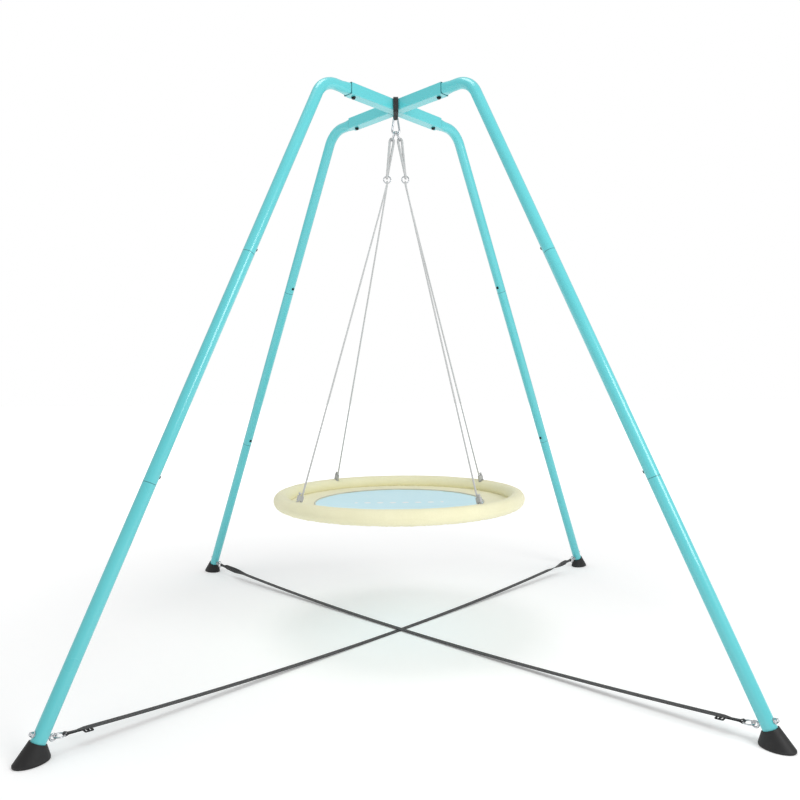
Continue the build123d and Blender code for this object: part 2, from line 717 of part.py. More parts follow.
# each button's flange inside the spigot, then its stem out to the tube's face
with BuildPart() as button:
    with BuildSketch(button_plane(-RIM_SPIGOT / 2).offset(8)):
        Circle(BUTTON_D / 2 + 1)
    extrude(amount=1)
    with BuildSketch(button_plane(-RIM_SPIGOT / 2).offset(8)):
        Circle(BUTTON_D / 2)
    extrude(amount=4.5)

for name, azimuth in ROPE_CORNERS.items():
    save(Rot(0, 0, azimuth - 45) * rim_tube.part, f"{name}_rim_tube")
save(gather(Rot(0, 0, a - 45) * button.part for a in ROPE_CORNERS.values()), "rim_snap_buttons")

# ---------------------------------------------------------------- foam, cover and panel
ROPE_GAP = 1.6  # degrees of ring left free of foam either side of a rope
FOAM_R = RIM_PAD_R
with BuildPart() as foam:
    with BuildSketch(rim_plane(0)):
        with Locations((RIM_R, 0)):
            Circle(FOAM_R)
            Circle(RIM_TUBE_D / 2 + 0.1, mode=Mode.SUBTRACT)
    revolve(axis=Axis.Z, revolution_arc=90 - 2 * ROPE_GAP)
save(
    gather(Rot(0, 0, a + ROPE_GAP) * foam.part for a in ROPE_CORNERS.values()),
    "rim_foam_sleeves",
)

# The cover is a sleeve of cloth round the foam with a flat web to the seat panel. Each rope
# leaves through a bound window in its top.
WEB_T = 1.6
WEB_INNER_R = PANEL_R - 2
WEB_OUTER_R = 455.5
WEB_Z = 530.7
WEB_RISE = 1.3
WINDOW_L = 25.0
WINDOW_W = 13.0
with BuildPart() as cover:
    with BuildSketch(Plane.XZ):
        with Locations((RIM_R, RIM_Z)):
            Circle(COVER_R)
            Circle(COVER_R - COVER_WALL, mode=Mode.SUBTRACT)
        with BuildLine():
            Polyline(
                (WEB_INNER_R, WEB_Z),
                (WEB_OUTER_R, WEB_Z + WEB_RISE),
                (WEB_OUTER_R, WEB_Z + WEB_RISE + WEB_T),
                (WEB_INNER_R, WEB_Z + WEB_T),
                close=True,
            )
        make_face()
    revolve(axis=Axis.Z)
    for name in CORNERS:
        middle, along, across = rope_frame(name)
        with BuildSketch(Plane(middle + along * 20, x_dir=across, z_dir=along)):
            RectangleRounded(WINDOW_L, WINDOW_W, 4)
        extrude(amount=COVER_R, mode=Mode.SUBTRACT)
save(cover.part, "rim_cover")

PANEL_T = 1.8
PANEL_HEM = 9.0
with BuildPart() as panel:
    with BuildSketch(Plane.XY.offset(WEB_Z - TINY - PANEL_T)):
        Circle(PANEL_R + PANEL_HEM)
    extrude(amount=PANEL_T)
save(panel.part, "seat_panel")
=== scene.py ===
import math

import bmesh
import bpy
import numpy as np
from mathutils import Matrix, Vector


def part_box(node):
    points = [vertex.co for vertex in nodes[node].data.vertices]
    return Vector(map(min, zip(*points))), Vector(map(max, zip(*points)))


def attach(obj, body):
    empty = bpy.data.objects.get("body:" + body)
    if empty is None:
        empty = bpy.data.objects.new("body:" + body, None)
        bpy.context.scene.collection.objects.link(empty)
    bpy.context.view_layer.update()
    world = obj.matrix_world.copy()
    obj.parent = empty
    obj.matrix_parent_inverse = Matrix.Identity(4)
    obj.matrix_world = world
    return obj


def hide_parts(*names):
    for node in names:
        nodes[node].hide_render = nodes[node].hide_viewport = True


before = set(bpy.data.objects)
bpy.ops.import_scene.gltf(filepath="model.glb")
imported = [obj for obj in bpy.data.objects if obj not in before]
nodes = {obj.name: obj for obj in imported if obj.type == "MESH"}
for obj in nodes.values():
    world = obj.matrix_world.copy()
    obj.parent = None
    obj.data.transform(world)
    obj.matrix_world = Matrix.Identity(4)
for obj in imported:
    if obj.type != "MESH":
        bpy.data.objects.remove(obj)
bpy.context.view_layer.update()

# ---------------------------------------------------------------- stand
# The hub, and four legs of round steel tube bent at the top and sleeved together twice.
# All are powder coated turquoise, with a dark line of shadow where two lengths meet.


class Signal:
    """A socket of a material, on which Python's arithmetic adds Math nodes."""

    def __init__(self, finish, socket):
        self.finish = finish
        self.socket = socket

    def math(self, operation, *values, clamp=False):
        settings = {"operation": operation, "use_clamp": clamp}
        return self.finish.add("ShaderNodeMath", settings, dict(enumerate((self, *values))))

    def __add__(self, other):
        return self.math("ADD", other)

    def __sub__(self, other):
        return self.math("SUBTRACT", other)

    def __mul__(self, other):
        return self.math("MULTIPLY", other)

    def __truediv__(self, other):
        return self.math("DIVIDE", other)

    def __rsub__(self, other):
        return (self * -1).math("ADD", other)

    __radd__ = __add__
    __rmul__ = __mul__

    def to(self, low, high):
        """The signal's rise from 0 at low to 1 at high, clamped."""
        return ((self - low) / (high - low)).math("ADD", 0.0, clamp=True)


class Finish:
    """A material being made. add() makes any node: its type, settings, then its sockets."""

    def __init__(self, name, **constants):
        self.material = bpy.data.materials.new(name)
        self.material.use_nodes = True
        self.tree = self.material.node_tree
        self.shader = self.tree.nodes["Principled BSDF"]
        for label, value in constants.items():
            self.shader.inputs[label.replace("_", " ")].default_value = value

    def add(self, kind, settings=(), sockets=(), out=0):
        node = self.tree.nodes.new(kind)
        for key, value in dict(settings).items():
            setattr(node, key, value)
        for key, value in dict(sockets).items():
            self.put(node.inputs[key], value)
        return Signal(self, node.outputs[out])

    def put(self, socket, value):
        if isinstance(value, Signal):
            self.tree.links.new(value.socket, socket)
        else:
            socket.default_value = value

    def place(self):
        """The point on the piece, in metres in the object's own frame."""
        return self.add("ShaderNodeTexCoord", out="Object")

    def across(self):
        """The piece's own UV map, in metres."""
        return self.add("ShaderNodeUVMap")

    def split(self, vector):
        node = self.tree.nodes.new("ShaderNodeSeparateXYZ")
        self.put(node.inputs[0], vector)
        return [Signal(self, o) for o in node.outputs]

    def noise(self, at, scale, detail=3.0, roughness=0.5):
        sockets = {"Vector": at, "Scale": scale, "Detail": detail, "Roughness": roughness}
        return self.add("ShaderNodeTexNoise", (), sockets)

    def blend(self, factor, one, two):
        """From colour one to colour two by a factor."""
        node = self.tree.nodes.new("ShaderNodeMix")
        node.data_type = "RGBA"
        for socket, value in ((0, factor), (6, one), (7, two)):
            self.put(node.inputs[socket], value)
        return Signal(self, node.outputs[2])

    def wear(self, height, distance, strength=1.0, normal=None):
        sockets = {"Height": height, "Distance": distance, "Strength": strength}
        if normal is not None:
            sockets["Normal"] = normal
        return self.add("ShaderNodeBump", (), sockets)

    def set(self, **links):
        for label, value in links.items():
            self.put(self.shader.inputs[label.replace("_", " ")], value)
        return self.material


def linear(red, green, blue):
    """A colour as a shader takes it, from the 0 to 255 of a screen."""
    parts = [c / 255 for c in (red, green, blue)]
    return [c / 12.92 if c < 0.04 else ((c + 0.055) / 1.055) ** 2.4 for c in parts] + [1.0]


def dress(names, material):
    """Give CAD nodes their finish."""
    for name in names:
        for place in nodes[name].material_slots:
            place.material = material


def named(*endings):
    return [n for n in sorted(nodes) if n.endswith(endings)]


LEAN = math.radians(26.24)  # of a leg from the vertical
SEAMS = ((0.7197, 1.455), (1.0835, 0.717))  # out and up, where lengths of leg meet
MOUTH_OUT = 0.2605  # where a leg leaves its hub arm
HUB_UNDER = (2.10, 2.11)
LINE = (0.0006, 0.0016)  # a shadow line's solid and faded half widths
enamel = Finish("turquoise_enamel", Roughness=0.3, Coat_Weight=0.5, Coat_Roughness=0.07)
at = enamel.place()
x, y, z = enamel.split(at)
out = (x.math("ABSOLUTE") + y.math("ABSOLUTE")) * math.sqrt(0.5)
up_leg = z * math.cos(LEAN) - out * math.sin(LEAN)
line = 0.0
for seam_out, seam_z in SEAMS:
    seam = seam_z * math.cos(LEAN) - seam_out * math.sin(LEAN)
    near = (up_leg - seam).math("ABSOLUTE")
    line = 1 - near.to(*LINE) + line
mouth = (out - MOUTH_OUT).math("ABSOLUTE")
line = line + (1 - mouth.to(*LINE)) * z.to(*HUB_UNDER)
line = line.math("MINIMUM", 1.0)
cloudy = enamel.noise(at, 5.0, 2.0)
peel = enamel.noise(at, 750.0, 1.0)
scuff = enamel.noise(at, 38.0, 6.0, 0.75).to(0.62, 0.74)
tint = enamel.blend(cloudy, linear(86, 192, 199), linear(96, 199, 204))
tint = enamel.blend(scuff * 0.25, tint, linear(120, 206, 211))
tint = enamel.blend(line * 0.75, tint, linear(30, 70, 78))
enamel.set(
    Base_Color=tint,
    Roughness=scuff * 0.12 + cloudy * 0.08 + 0.24,
    Normal=enamel.wear(peel - line * 4, 0.00006, 0.5),
)
TUBES = named("upper_tube", "middle_tube", "lower_tube")
HUB = ["hub_long_tube", "hub_half_tube_front_right", "hub_half_tube_rear_left"]
dress(TUBES + HUB, enamel.material)

# ---------------------------------------------------------------- black fasteners
# Screws through the sleeved tubes hold each joint of a leg, and a bolt through each arm of
# the hub holds the leg's squared end. Both are of blackened steel.
black_steel = Finish("blackened_steel", Metallic=0.6, Roughness=0.42)
at = black_steel.place()
worn = black_steel.noise(at, 420.0, 4.0).to(0.55, 0.75)
black_steel.set(
    Base_Color=black_steel.blend(worn, linear(22, 22, 24), linear(58, 58, 60)),
    Roughness=0.5 - worn * 0.18,
    Normal=black_steel.wear(black_steel.noise(at, 1500.0), 0.00003, 0.6),
)
dress(["leg_screws", "hub_bolts"], black_steel.material)

# ---------------------------------------------------------------- bright hardware
# Eye bolts go through both walls of a leg into cap nuts, and welded rings link the straps,
# loops and ropes. They are of zinc plated steel, and the hook is of polished steel.
zinc = Finish("zinc_plate", Metallic=1.0, Roughness=0.25)
at = zinc.place()
cloud = zinc.noise(at, 260.0, 4.0, 0.6)
brushed = zinc.noise(at, 2600.0, 2.0)
zinc.set(
    Base_Color=zinc.blend(cloud, linear(178, 180, 184), linear(220, 222, 224)),
    Roughness=cloud * 0.2 + 0.14,
    Normal=zinc.wear(brushed, 0.00002, 0.5),
)
dress(named("eye_bolt", "strap_ring", "link_ring", "rope_ring"), zinc.material)
dress(["hub_cap_nuts", "eye_bolt_cap_nuts", "rim_snap_buttons"], zinc.material)
dress(["carabiner_gate_pin", "carabiner_gate_spring"], zinc.material)

polished = Finish("polished_steel", Metallic=1.0, Roughness=0.15)
at = polished.place()
rubbed = polished.noise(at, 900.0, 5.0, 0.7).to(0.45, 0.7)
polished.set(
    Base_Color=polished.blend(rubbed, linear(208, 210, 214), linear(176, 178, 182)),
    Roughness=rubbed * 0.22 + 0.12,
    Normal=polished.wear(rubbed, 0.00002, 0.5),
)
dress(["carabiner_hook", "carabiner_gate"], polished.material)

# ---------------------------------------------------------------- feet
# Moulded rubber boots pushed on to the ends of the legs, matt and finely grained. A little
# dust lies on them near the floor.
rubber = Finish("moulded_rubber", Roughness=0.6)
at = rubber.place()
grain = rubber.noise(at, 1400.0, 3.0)
dust = rubber.noise(at, 60.0, 5.0, 0.7).to(0.5, 0.8)
dusty = dust * (1 - rubber.split(at)[2].to(0.004, 0.05)) * 0.6
rubber.set(
    Base_Color=rubber.blend(dusty, linear(15, 15, 16), linear(52, 51, 50)),
    Roughness=grain * 0.15 + dust * 0.1 + 0.48,
    Normal=rubber.wear(grain, 0.00012, 0.7),
)
dress(named("_foot"), rubber.material)

# ---------------------------------------------------------------- floor straps
# Two polyester webbing straps between opposite rings, crossing low over the floor. Each
# end is folded round its ring, drawn narrow and sewn back under itself.
STRAP_W = 0.025
STRAP_T = 0.0018
LOOP_W = 0.012
FAR_WIRE = (1.34234, 0.04735)  # out from the middle and up: the ring's far wire
SLOPE = math.radians(3.88)  # of the strap at its ends
LOOP_R = 0.0052
SEWN = 0.048  # length of the doubled end
STITCHED = 0.012  # of the wide strap inside it
FOLD_START = 0.009  # past the wire, where the two layers come together
WIDENS = 0.03  # length over which the strap opens to its full width
TWIST_FROM = 0.30  # from the rear end, where the strap starts to turn on edge
TWIST_L = 0.17
STRAP_STEP = 0.0025
CROSSING_Z = {"front_left": 0.0015, "front_right": 0.0042}
DIAGONAL = {"front_left": 225, "front_right": 315}


def grid_mesh(name, points, around=False, along=False, uv=None, ends=False):
    """Four-sided faces between neighbours of a grid of points (rows, columns, 3).

    around joins the last column to the first, along the last row to the first, and ends
    closes the first and last row with one face each. uv is (rows, columns, 2) in metres.
    """
    rows, columns = points.shape[:2]
    number = np.arange(rows * columns).reshape(rows, columns)
    spread = np.arange(rows if along else rows - 1)
    turn = np.arange(columns if around else columns - 1)
    r, c = np.meshgrid(spread, turn, indexing="ij")
    r2, c2 = (r + 1) % rows, (c + 1) % columns
    faces = np.stack([number[r, c], number[r, c2], number[r2, c2], number[r2, c]], -1)
    faces = faces.reshape(-1, 4)
    corner_uv = None
    if uv is not None:
        step = uv[1, 0] - uv[0, 0]
        last = uv[:, -1] + (uv[:, -1] - uv[:, -2])
        wide = np.concatenate([uv, last[:, None]], 1)
        wide = np.concatenate([wide, wide[-1:] + step], 0)
        picks = ((r, c), (r, c + 1), (r + 1, c + 1), (r + 1, c))
        corner_uv = np.stack([wide[a, b] for a, b in picks], 2).reshape(-1, 2)
    faces = faces.tolist()
    if ends:
        faces += [number[0, ::-1].tolist(), number[-1].tolist()]
    mesh = bpy.data.meshes.new(name)
    mesh.from_pydata(points.reshape(-1, 3), [], faces)
    if corner_uv is not None:
        layer = mesh.uv_layers.new(name="UVMap")
        flat = np.zeros((len(mesh.loops), 2), np.float32)
        flat[: len(corner_uv)] = corner_uv
        layer.data.foreach_set("uv", flat.ravel())
    mesh.shade_smooth()
    piece = bpy.data.objects.new(name, mesh)
    bpy.context.scene.collection.objects.link(piece)
    return piece


def outward(piece):
    """Turn a closed mesh's faces over if they enclose a negative volume."""
    mesh = piece.data
    corners = np.zeros(len(mesh.vertices) * 3)
    mesh.vertices.foreach_get("co", corners)
    corners = corners.reshape(-1, 3)
    mesh.calc_loop_triangles()
    three = np.zeros(len(mesh.loop_triangles) * 3, int)
    mesh.loop_triangles.foreach_get("vertices", three)
    a, b, c = corners[three.reshape(-1, 3)].transpose(1, 0, 2)
    if np.einsum("ij,ij->i", a, np.cross(b, c)).sum() < 0:
        mesh.flip_normals()
    return piece


def unit(vectors):
    return vectors / np.linalg.norm(vectors, axis=-1, keepdims=True)


def headings(path, closed=False):
    """Each point's direction along the path: the difference of its neighbours."""
    if closed:
        return unit(np.roll(path, -1, 0) - np.roll(path, 1, 0))
    return unit(np.gradient(path, axis=0))


def evenly(path, spacing):
    """The same line with points at an even spacing."""
    run = np.r_[0, np.cumsum(np.linalg.norm(np.diff(path, axis=0), axis=1))]
    places = np.linspace(0, run[-1], int(run[-1] / spacing) + 2)
    return np.stack([np.interp(places, run, path[:, k]) for k in range(3)], 1), places


def webbing(name, path, places, side, width, thickness, closed=False):
    """A flat strap: a flattened oval of half width w and half thickness t set square to
    the path at each point, with its long axis along side. The oval's cosine and sine are
    raised to the power 0.35, so that the faces are flat and the selvedges round."""
    ahead = headings(path, closed)
    side = unit(side - ahead * np.einsum("ij,ij->i", side, ahead)[:, None])
    face = np.cross(ahead, side)
    turn = np.linspace(0, 2 * np.pi, 28, endpoint=False) + np.pi / 28
    oval = np.stack([np.cos(turn), np.sin(turn)])
    oval = np.abs(oval) ** 0.35 * np.sign(oval)
    w = np.broadcast_to(width, len(path))[:, None] / 2
    points = path[:, None] + side[:, None] * (w * oval[0])[..., None]
    points = points + face[:, None] * (thickness / 2 * oval[1])[None, :, None]
    run = np.broadcast_to(places[:, None], points.shape[:2])
    uv = np.stack([run, w * oval[0]], -1)
    piece = grid_mesh(name, points, around=True, along=closed, uv=uv, ends=not closed)
    return outward(piece)


def woven(name, dark, light, rough, rib=0.0016, chevron=0.006):
    """Webbing: a herringbone of warp ribs along the strap and picks across it, from the
    piece's UV map in metres."""
    finish = Finish(name, Roughness=rough, Sheen_Weight=0.25, Sheen_Roughness=0.5)
    u, v, _ = finish.split(finish.across())
    zigzag = (v / chevron).math("PINGPONG", 0.5) * chevron
    twill = ((u + zigzag) * (2 * math.pi / rib)).math("SINE")
    warp = (v * (2 * math.pi / (rib * 0.62))).math("SINE")
    weave = twill * 0.6 + warp * 0.4
    fuzz = finish.noise(finish.place(), 900.0, 4.0)
    finish.set(
        Base_Color=finish.blend((weave * 0.5 + fuzz).to(0.1, 1.1), dark, light),
        Roughness=fuzz * 0.15 + (rough - 0.05),
        Normal=finish.wear(weave + fuzz * 0.6, 0.00025, 0.8),
    )
    return finish.material


BLACK_WEBBING = woven("black_webbing", linear(9, 9, 10), linear(30, 30, 32), 0.72)


def floor_strap(corner):
    """The strap's line in its diagonal plane is a parabola between the doubled ends: its
    height grows with the square of the share of the way out. Each end runs on round the
    ring's wire and back under itself."""
    wire_out, wire_z = FAR_WIRE
    inward = np.array([-math.cos(SLOPE), -math.sin(SLOPE)])
    above = np.array([-math.sin(SLOPE), math.cos(SLOPE)])
    start = np.array([wire_out, wire_z])
    reach = wire_out - SEWN + STITCHED
    lift = CROSSING_Z[corner]
    s = np.linspace(1, -1, 160)
    arc_z = lift + (wire_z - 0.0012 - lift) * s**2
    plane = np.stack([reach * s, 0 * s, arc_z], 1)
    turn = np.linspace(-np.pi / 2, -3 * np.pi / 2, 24)
    ring = (np.cos(turn) * LOOP_R, np.sin(turn) * LOOP_R)
    back = np.linspace(SEWN, FOLD_START, 12)
    lead = np.linspace(FOLD_START, SEWN - STITCHED - 0.002, 10)
    close = LOOP_R * 0.35
    ends = []
    for on_edge in (False, True):
        tail = np.stack([back, np.full(12, -close)], 1)
        loop = np.stack(ring, 1)
        leave = np.stack([lead, np.full(10, close) * (1 - lead / SEWN)], 1)
        flat = np.concatenate([tail, loop, leave])
        along, off = flat[:, :1], flat[:, 1]
        spot = start + along * inward
        if on_edge:
            ends.append(np.stack([spot[:, 0], off, spot[:, 1]], 1))
        else:
            spot = spot + off[:, None] * above
            ends.append(np.stack([spot[:, 0], 0 * off, spot[:, 1]], 1))
    ends[1] = ends[1][::-1] * (-1, 1, 1)
    path = np.concatenate([ends[0], plane, ends[1]])
    path, places = evenly(path, STRAP_STEP)
    total = places[-1]
    from_end = np.minimum(places, total - places)
    narrow = np.clip((from_end - 2 * SEWN) / WIDENS, 0, 1)
    width = LOOP_W + (STRAP_W - LOOP_W) * narrow * narrow * (3 - 2 * narrow)
    twist = np.clip((places - (total - TWIST_FROM)) / TWIST_L, 0, 1)
    twist = (twist * twist * (3 - 2 * twist))[:, None] * np.pi / 2
    level = np.array([0, 1.0, 0])
    edge = np.array([0, 0, 1.0])
    side = level * np.cos(twist) + edge * np.sin(twist)
    a = math.radians(DIAGONAL[corner])
    spin = np.array(Matrix.Rotation(-a, 3, "Z"))
    piece = webbing(f"{corner}_strap", path @ spin, places, side @ spin, width, STRAP_T)
    piece.data.materials.append(BLACK_WEBBING)
    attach(piece, "stand")
    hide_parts(f"{corner}_floor_strap")


for corner in DIAGONAL:
    floor_strap(corner)

# ---------------------------------------------------------------- strap sliders
# A moulded plastic slider under the doubled end of each strap sets its length. The strap's
# tail would be threaded round its middle bar.
moulded = Finish("black_moulding", Roughness=0.45)
at = moulded.place()
grain = moulded.noise(at, 1100.0, 2.0)
shade = moulded.noise(at, 90.0, 4.0)
moulded.set(
    Base_Color=moulded.blend(shade, linear(24, 24, 25), linear(38, 38, 40)),
    Roughness=grain * 0.12 + 0.4,
    Normal=moulded.wear(grain, 0.00005, 0.6),
)
dress(["strap_sliders"], moulded.material)

# ---------------------------------------------------------------- hanging sling
# A sewn band of black webbing over the hub's crossing, gathered narrow where it carries
# the hook. It is the same webbing as the floor straps, in two layers.
SLING_T = 0.0028
SLING_W = 0.02
GATHERED_W = 0.0068  # in the hook
GATHERED_Y = 0.007  # half the length that is narrow
OPENS_Y = 0.008  # the run over which it reaches its full width
SLING_STEP = 0.001
sling_low, sling_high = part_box("hanging_sling")
HALF_RUN = (sling_high.y - sling_low.y - 0.003) / 2
TOP_Z = sling_high.z - 0.0015
BIGHT_Z = sling_low.z + 0.0015
SHOULDER_Z = 2.1079
corners = np.array(
    [
        (0, TOP_Z),
        (HALF_RUN - 0.008, TOP_Z),
        (HALF_RUN, TOP_Z - 0.008),
        (HALF_RUN, SHOULDER_Z + 0.004),
        (HALF_RUN - 0.005, SHOULDER_Z - 0.003),
        (0.0055, BIGHT_Z + 0.0014),
        (0, BIGHT_Z),
    ]
)
half_loop = np.stack([0 * corners[:, 0], corners[:, 0], corners[:, 1]], 1)
band, _ = evenly(np.concatenate([half_loop, half_loop[-2:0:-1] * (1, -1, 1)]), SLING_STEP)
for _ in range(3):
    band = (np.roll(band, 1, 0) + 2 * band + np.roll(band, -1, 0)) / 4
places = np.arange(len(band)) * SLING_STEP
over_hub = band[:, 2] > HUB_UNDER[1] + 0.01
opened = np.clip((np.abs(band[:, 1]) - GATHERED_Y) / OPENS_Y + over_hub, 0, 1)
opened = opened * opened * (3 - 2 * opened)
width = GATHERED_W + (SLING_W - GATHERED_W) * opened
side = np.broadcast_to(np.array([1.0, 0, 0]), band.shape)
sling = webbing("sling", band, places, side, width, SLING_T, closed=True)
sling.data.materials.append(BLACK_WEBBING)
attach(sling, "sling")
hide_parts("hanging_sling")

# ---------------------------------------------------------------- ropes
# One braided polyester rope a side. It starts in a knot over the front adjuster, goes
# round the steel rim and up over its ring, and comes down to the rear the same way.
ROPE_R = 0.0035
RIM_R = 0.479
RIM_Z = 0.55
WRAP = 0.0171
APART = 0.006
FRONT_AZIMUTH = {"left": 217, "right": 307}
REAR_AZIMUTH = {"left": 127, "right": 37}
RING_X = 0.037
SADDLE_Z = 1.8371
SADDLE_Y = 0.0066
ADJUSTER_TOP = 0.056  # up the rope from the rim tube's middle, clear of the block
ADJUSTER_FOOT = 0.027
WRAP_RISE = 0.008  # straight strand beside the tube
KNOT_UP = 0.0605
KNOT_ROPE_R = 0.0030
KNOT_SIZE = 0.0011


def rope_frame(azimuth, side, front):
    """A place on the rim, the way up its rope and the way inwards square to it."""
    a = math.radians(azimuth)
    middle = np.array([RIM_R * math.cos(a), RIM_R * math.sin(a), RIM_Z])
    top = np.array([side * RING_X, -front * SADDLE_Y, SADDLE_Z])
    along = unit(top - middle)
    radial = np.array([-math.cos(a), -math.sin(a), 0])
    return middle, along, unit(radial - along * (radial @ along))


def rope_end(azimuth, side, front):
    """Control points from the knot, down round the rim tube and up through the block."""
    middle, along, across = rope_frame(azimuth, side, front)
    stops = (
        (ADJUSTER_TOP, -APART),
        (ADJUSTER_FOOT, -APART),
        (WRAP_RISE, -WRAP),
        (-WRAP, -WRAP),
        (-WRAP, WRAP),
        (WRAP_RISE, WRAP),
        (ADJUSTER_FOOT, APART),
        (ADJUSTER_TOP, APART),
    )
    return [middle + along * up + across * over for up, over in stops]


def smooth_line(points, closed=False):
    """Points along the smooth NURBS line that has these as its control points."""
    curve = bpy.data.curves.new("line", "CURVE")
    curve.dimensions = "3D"
    curve.resolution_u = 24
    spline = curve.splines.new("NURBS")
    spline.points.add(len(points) - 1)
    for place, point in zip(spline.points, points):
        place.co = (*point, 1.0)
    spline.order_u = 3
    spline.use_endpoint_u = not closed
    spline.use_cyclic_u = closed
    carrier = bpy.data.objects.new("line", curve)
    bpy.context.scene.collection.objects.link(carrier)
    mesh = bpy.data.meshes.new_from_object(carrier)
    line = np.zeros(len(mesh.vertices) * 3)
    mesh.vertices.foreach_get("co", line)
    bpy.data.objects.remove(carrier)
    bpy.data.meshes.remove(mesh)
    return line.reshape(-1, 3)


def braided(name, line, side, radius, plait, spacing, closed=False, swell=None):
    """A braid: at place s and turn a its radius is R(1 + e max(cos(4a + ks), cos(4a - ks))),
    two sets of four strands that wind opposite ways. swell adds to the radius."""
    if closed:
        line = np.concatenate([line, line[:1]])
    path, places = evenly(line, spacing)
    if closed:
        path, places = path[:-1], places[:-1]
    ahead = headings(path, closed)
    share = np.linspace(0, 1, len(path))
    keys = np.linspace(0, 1, len(side))
    side = np.stack([np.interp(share, keys, np.array(side)[:, k]) for k in range(3)], 1)
    side = unit(side - ahead * np.einsum("ij,ij->i", side, ahead)[:, None])
    face = np.cross(ahead, side)
    turn = np.linspace(0, 2 * np.pi, 24, endpoint=False)
    wind = places[:, None] * (2 * np.pi / plait)
    strands = np.maximum(np.cos(4 * turn + wind), np.cos(4 * turn - wind))
    r = radius * (0.93 + 0.07 * strands)
    if swell is not None:
        r = r + swell(places)[:, None]
    points = path[:, None] + side[:, None] * (r * np.cos(turn))[..., None]
    points = points + face[:, None] * (r * np.sin(turn))[..., None]
    run = np.broadcast_to(places[:, None], r.shape)
    uv = np.stack([run, np.broadcast_to(turn * radius, r.shape)], -1)
    piece = grid_mesh(name, points, around=True, along=closed, uv=uv, ends=not closed)
    return outward(piece)


yarn = Finish("grey_braid", Roughness=0.75, Sheen_Weight=0.4, Sheen_Roughness=0.5)
u, v, _ = yarn.split(yarn.across())
fibres = ((u * 0.55 + v) * (2 * math.pi / 0.0009)).math("SINE")
fuzz = yarn.noise(yarn.place(), 1600.0, 4.0, 0.6)
soil = yarn.noise(yarn.place(), 12.0, 3.0)
thread = yarn.blend(fuzz, linear(172, 173, 174), linear(206, 207, 207))
yarn.set(
    Base_Color=yarn.blend(soil * 0.35, thread, linear(186, 186, 184)),
    Roughness=fuzz * 0.15 + 0.66,
    Normal=yarn.wear(fibres * 0.4 + fuzz, 0.0002, 0.7),
)


def knot(name, middle, along, across):
    """An overhand knot: the trefoil line (sin t + 2 sin 2t, cos t - 2 cos 2t, -sin 3t)
    scaled to sit on the adjuster."""
    t = np.linspace(0, 2 * np.pi, 60, endpoint=False)
    flat = (np.sin(t) + 2 * np.sin(2 * t), np.cos(t) - 2 * np.cos(2 * t), -np.sin(3 * t))
    third = np.cross(along, across)
    centre = middle + along * KNOT_UP - across * APART
    ways = (across, third, along)
    line = centre + sum(f[:, None] * way * KNOT_SIZE for f, way in zip(flat, ways))
    return braided(name, line, [along, along], KNOT_ROPE_R, 0.012, 0.0006, closed=True)


def rope(side_name):
    """One side's rope with its two knots, all of the same braid."""
    sign = -1 if side_name == "left" else 1
    front = (FRONT_AZIMUTH[side_name], sign, 1)
    rear = (REAR_AZIMUTH[side_name], sign, -1)
    top = np.array([sign * RING_X, 0, SADDLE_Z])
    over = [
        top + (-sign * 0.0005, -0.0092, -0.014),
        top + (0, -SADDLE_Y, 0),
        top + (0, SADDLE_Y, 0),
        top + (-sign * 0.0005, 0.0092, -0.014),
    ]
    line = smooth_line(rope_end(*front) + over + rope_end(*rear)[::-1])
    a, b = math.radians(front[0]), math.radians(rear[0])
    sides = [
        np.array([-math.sin(a), math.cos(a), 0]),
        np.array([-1.0, 0, 0]),
        np.array([math.sin(b), -math.cos(b), 0]),
    ]
    piece = braided(f"{side_name}_braided_rope", line, sides, ROPE_R, 0.016, 0.0017)
    knots = [
        knot(f"{side_name}_{end}_knot", *rope_frame(*which))
        for end, which in (("front", front), ("rear", rear))
    ]
    for part in (piece, *knots):
        part.data.materials.append(yarn.material)
        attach(part, "seat")
    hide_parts(f"{side_name}_rope")


for side_name in ("left", "right"):
    rope(side_name)

# ---------------------------------------------------------------- webbing loops
# A sewn loop of tubular webbing each side, from its link ring down to its rope ring. It
# turns a quarter on the way, because the two rings stand square to each other.
LINK_BOTTOM = np.array([0.016339, 0, 2.00167])
RING_TOP = np.array([0.037, 0, 1.859])
HALF = 0.0082  # from a ring's wire to the middle of the strand round it
LOOP_ROPE_R = 0.0052
up = unit(LINK_BOTTOM - RING_TOP)
over = np.cross((0, 1.0, 0), up)
lateral = np.array([0, 1.0, 0])
CLEAR = 0.014  # from a ring's wire to where the strands run straight
STRAND = 0.0078  # half the strands' distance there
TURNED = 0.001  # and how far they have turned towards the other ring's plane
loop_points = [
    LINK_BOTTOM + up * HALF - over * HALF,
    LINK_BOTTOM + up * HALF + over * HALF,
    LINK_BOTTOM - up * CLEAR + over * STRAND + lateral * TURNED,
    RING_TOP + up * CLEAR + over * TURNED + lateral * STRAND,
    RING_TOP - up * HALF + lateral * HALF,
    RING_TOP - up * HALF - lateral * HALF,
    RING_TOP + up * CLEAR - over * TURNED - lateral * STRAND,
    LINK_BOTTOM - up * CLEAR - over * STRAND - lateral * TURNED,
]
for side_name, flip in (("right", 1), ("left", -1)):
    line = smooth_line([p * (flip, flip, 1) for p in loop_points], closed=True)
    ahead = headings(line, closed=True)
    square = unit(np.cross(ahead, unit(line - line.mean(0)) + 1e-6))  # never quite parallel
    sides = square[np.linspace(0, len(line) - 1, 200).astype(int)]
    loop = braided(f"{side_name}_loop", line, sides, LOOP_ROPE_R, 0.02, 0.001, closed=True)
    loop.data.materials.append(yarn.material)
    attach(loop, "seat")
    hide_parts(f"{side_name}_webbing_loop")

